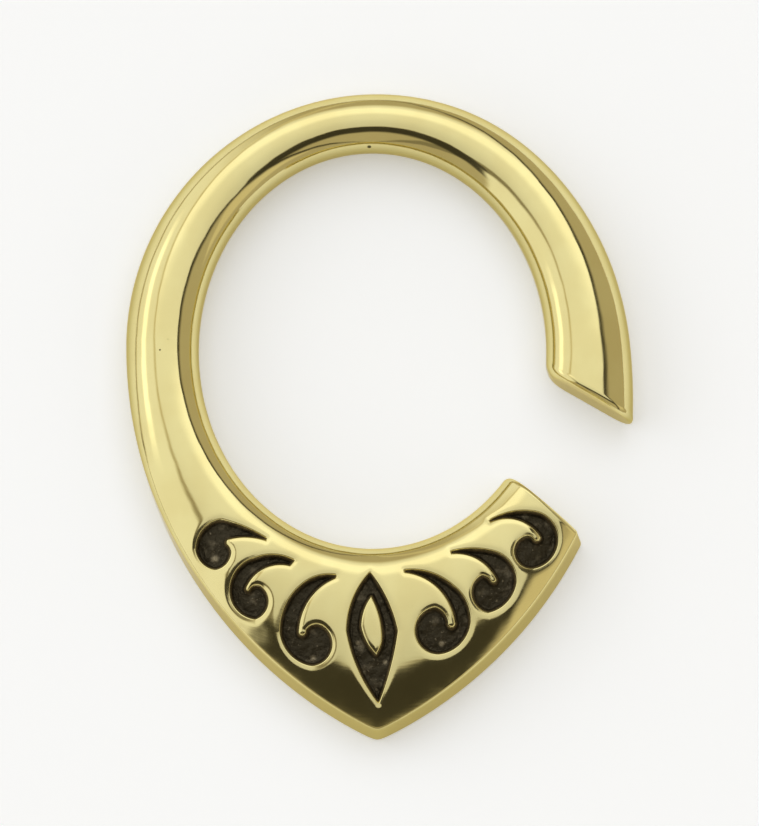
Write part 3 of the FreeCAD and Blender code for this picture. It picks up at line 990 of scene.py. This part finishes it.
def studio_world(studio):
    """One softbox overhead and one on the left, with dark gaps beside them, in a warm, dimmer room."""
    world = bpy.data.worlds.new("studio")
    bpy.context.scene.world = world
    world.use_nodes = True
    nodes = Nodes(world.node_tree)
    maths, ramp, window, mixed = nodes.maths, nodes.ramp, nodes.window, nodes.mixed

    # Angles of a direction in degrees: from straight up towards the front and the right, from level upwards,
    # and from the left round to the front. Below level counts as level in the first two.
    toward = nodes.make("SeparateXYZ", (nodes.make("TexCoord")["Generated"],))
    up = maths("MAXIMUM", toward["Z"], 1e-4)
    ahead = maths("MULTIPLY", toward["Y"], -1.0)
    front = maths("DEGREES", maths("ARCTAN2", ahead, up))
    right = maths("DEGREES", maths("ARCTAN2", toward["X"], up))
    level = maths("DEGREES", maths("ARCSINE", toward["Z"]))
    left_round = maths("DEGREES", maths("ARCTAN2", ahead, maths("MULTIPLY", toward["X"], -1.0)))

    # The room, with the seam between the two lights, a gap in front, a brighter corner and a gap on the right
    light = mixed(window(right, SEAM_RIGHT), studio.room, ramp(front, *SEAM_RAMP))
    front_gap = maths("MULTIPLY", window(front, FRONT_GAP_FRONT), ramp(right, *FRONT_GAP_RAMP))
    light = mixed(front_gap, light, studio.gap)
    corner = maths("MULTIPLY", window(front, CORNER_FRONT), window(right, CORNER_RIGHT))
    light = mixed(corner, light, studio.front_right)
    light = mixed(window(right, RIGHT_GAP_RIGHT), light, studio.gap)

    # The overhead light dims towards the front and glows at the back
    parting = maths("MULTIPLY", maths("MAXIMUM", front, 0.0), PARTING)
    across = maths("SUBTRACT", right, parting)
    overhead = maths("MULTIPLY", window(front, OVERHEAD_FRONT), window(across, OVERHEAD_RIGHT))
    glow = maths("MULTIPLY_ADD", window(front, GLOW_FRONT), GLOW, ramp(front, *OVERHEAD_RAMP))
    light = mixed(overhead, light, maths("MULTIPLY", glow, studio.softbox))

    # The light on the left has a brighter streak
    side = ramp(maths("ADD", right, parting), *SIDE_RIGHT_RAMP)
    side = maths("MULTIPLY", side, ramp(level, *SIDE_LEVEL_RAMP))
    side = maths("MULTIPLY", side, window(left_round, SIDE_ROUND))
    streak = maths("MULTIPLY", window(level, STREAK_LEVEL), window(left_round, STREAK_ROUND))
    light = mixed(side, light, maths("MULTIPLY_ADD", streak, STREAK, studio.side_softbox))

    tint = mixed(maths("MAXIMUM", overhead, side), studio.room_colour, (1.0, 1.0, 1.0), "RGBA")
    background = nodes.make("Background", {"Color": tint, "Strength": light})["Background"]
    nodes.make("OutputWorld", {"Surface": background})


def table_material(studio):
    """Matt white board."""
    material = bpy.data.materials.new("table")
    material.use_nodes = True
    shader = material.node_tree.nodes["Principled BSDF"]
    shader.inputs["Base Color"].default_value = (*studio.table, 1.0)
    shader.inputs["Roughness"].default_value = TABLE_ROUGHNESS
    shader.inputs["Specular IOR Level"].default_value = TABLE_SHINE
    shader.inputs["Emission Color"].default_value = (1.0, 1.0, 1.0, 1.0)
    shader.inputs["Emission Strength"].default_value = studio.table_glow
    return material


class EARWEIGHT_OT_stage(bpy.types.Operator):
    """Make the table, the light and the camera"""

    bl_idname = "ear_weight.stage"
    bl_label = "Stage"
    bl_options = {"REGISTER", "UNDO"}

    def execute(self, context):
        studio = context.scene.ear_weight_studio
        low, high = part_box(NODE)
        corners = np.array([(-1, -1, 0), (1, -1, 0), (1, 1, 0), (-1, 1, 0)]) * TABLE_HALF
        table = to_object("table", corners, [(0, 1, 2, 3)])
        table.data.materials.append(table_material(studio))
        studio_world(studio)

        camera = bpy.data.objects.new("camera", bpy.data.cameras.new("camera"))
        context.scene.collection.objects.link(camera)
        camera.data.lens = studio.lens
        camera.data.clip_start = NEAR_CLIP
        camera.data.dof.use_dof = False
        back = Vector((0.0, -math.cos(studio.elevation), math.sin(studio.elevation)))
        middle = (low + high) / 2.0
        seen_height = (high.y - low.y) * math.sin(studio.elevation) / studio.share_of_frame
        long_side = camera.data.sensor_width
        distance = seen_height * camera.data.lens / long_side
        camera.location = middle + back * distance
        camera.rotation_euler = back.to_track_quat("Z", "Y").to_euler()
        context.scene.camera = camera
        context.scene.view_settings.view_transform = "Standard"
        return {"FINISHED"}


class VIEW3D_PT_ear_weight(bpy.types.Panel):
    """Sizes, colours and steps of the ear weight"""

    bl_label = "Ear Weight"
    bl_space_type = "VIEW_3D"
    bl_region_type = "UI"
    bl_category = "Ear Weight"

    def draw(self, context):
        layout = self.layout
        for label, group in (
            ("Sizes", context.scene.ear_weight_sizes),
            ("Finish", context.scene.ear_weight_finish),
            ("Studio", context.scene.ear_weight_studio),
        ):
            box = layout.box()
            box.label(text=label)
            for name in group.__annotations__:
                box.prop(group, name)
        for operator in (EARWEIGHT_OT_casting, EARWEIGHT_OT_stage):
            layout.operator(operator.bl_idname)


CLASSES = (
    WeightSizes,
    WeightFinish,
    WeightStudio,
    EARWEIGHT_OT_casting,
    EARWEIGHT_OT_stage,
    VIEW3D_PT_ear_weight,
)


def register():
    """Add the classes and the scene's settings."""
    for made in CLASSES:
        bpy.utils.register_class(made)
    bpy.types.Scene.ear_weight_sizes = PointerProperty(type=WeightSizes)
    bpy.types.Scene.ear_weight_finish = PointerProperty(type=WeightFinish)
    bpy.types.Scene.ear_weight_studio = PointerProperty(type=WeightStudio)


def unregister():
    """Take the classes and the settings away."""
    del bpy.types.Scene.ear_weight_studio
    del bpy.types.Scene.ear_weight_finish
    del bpy.types.Scene.ear_weight_sizes
    for made in reversed(CLASSES):
        bpy.utils.unregister_class(made)


def main():
    """Make everything in order."""
    register()
    bpy.ops.ear_weight.casting()
    bpy.ops.ear_weight.stage()


if __name__ == "__main__":
    main()
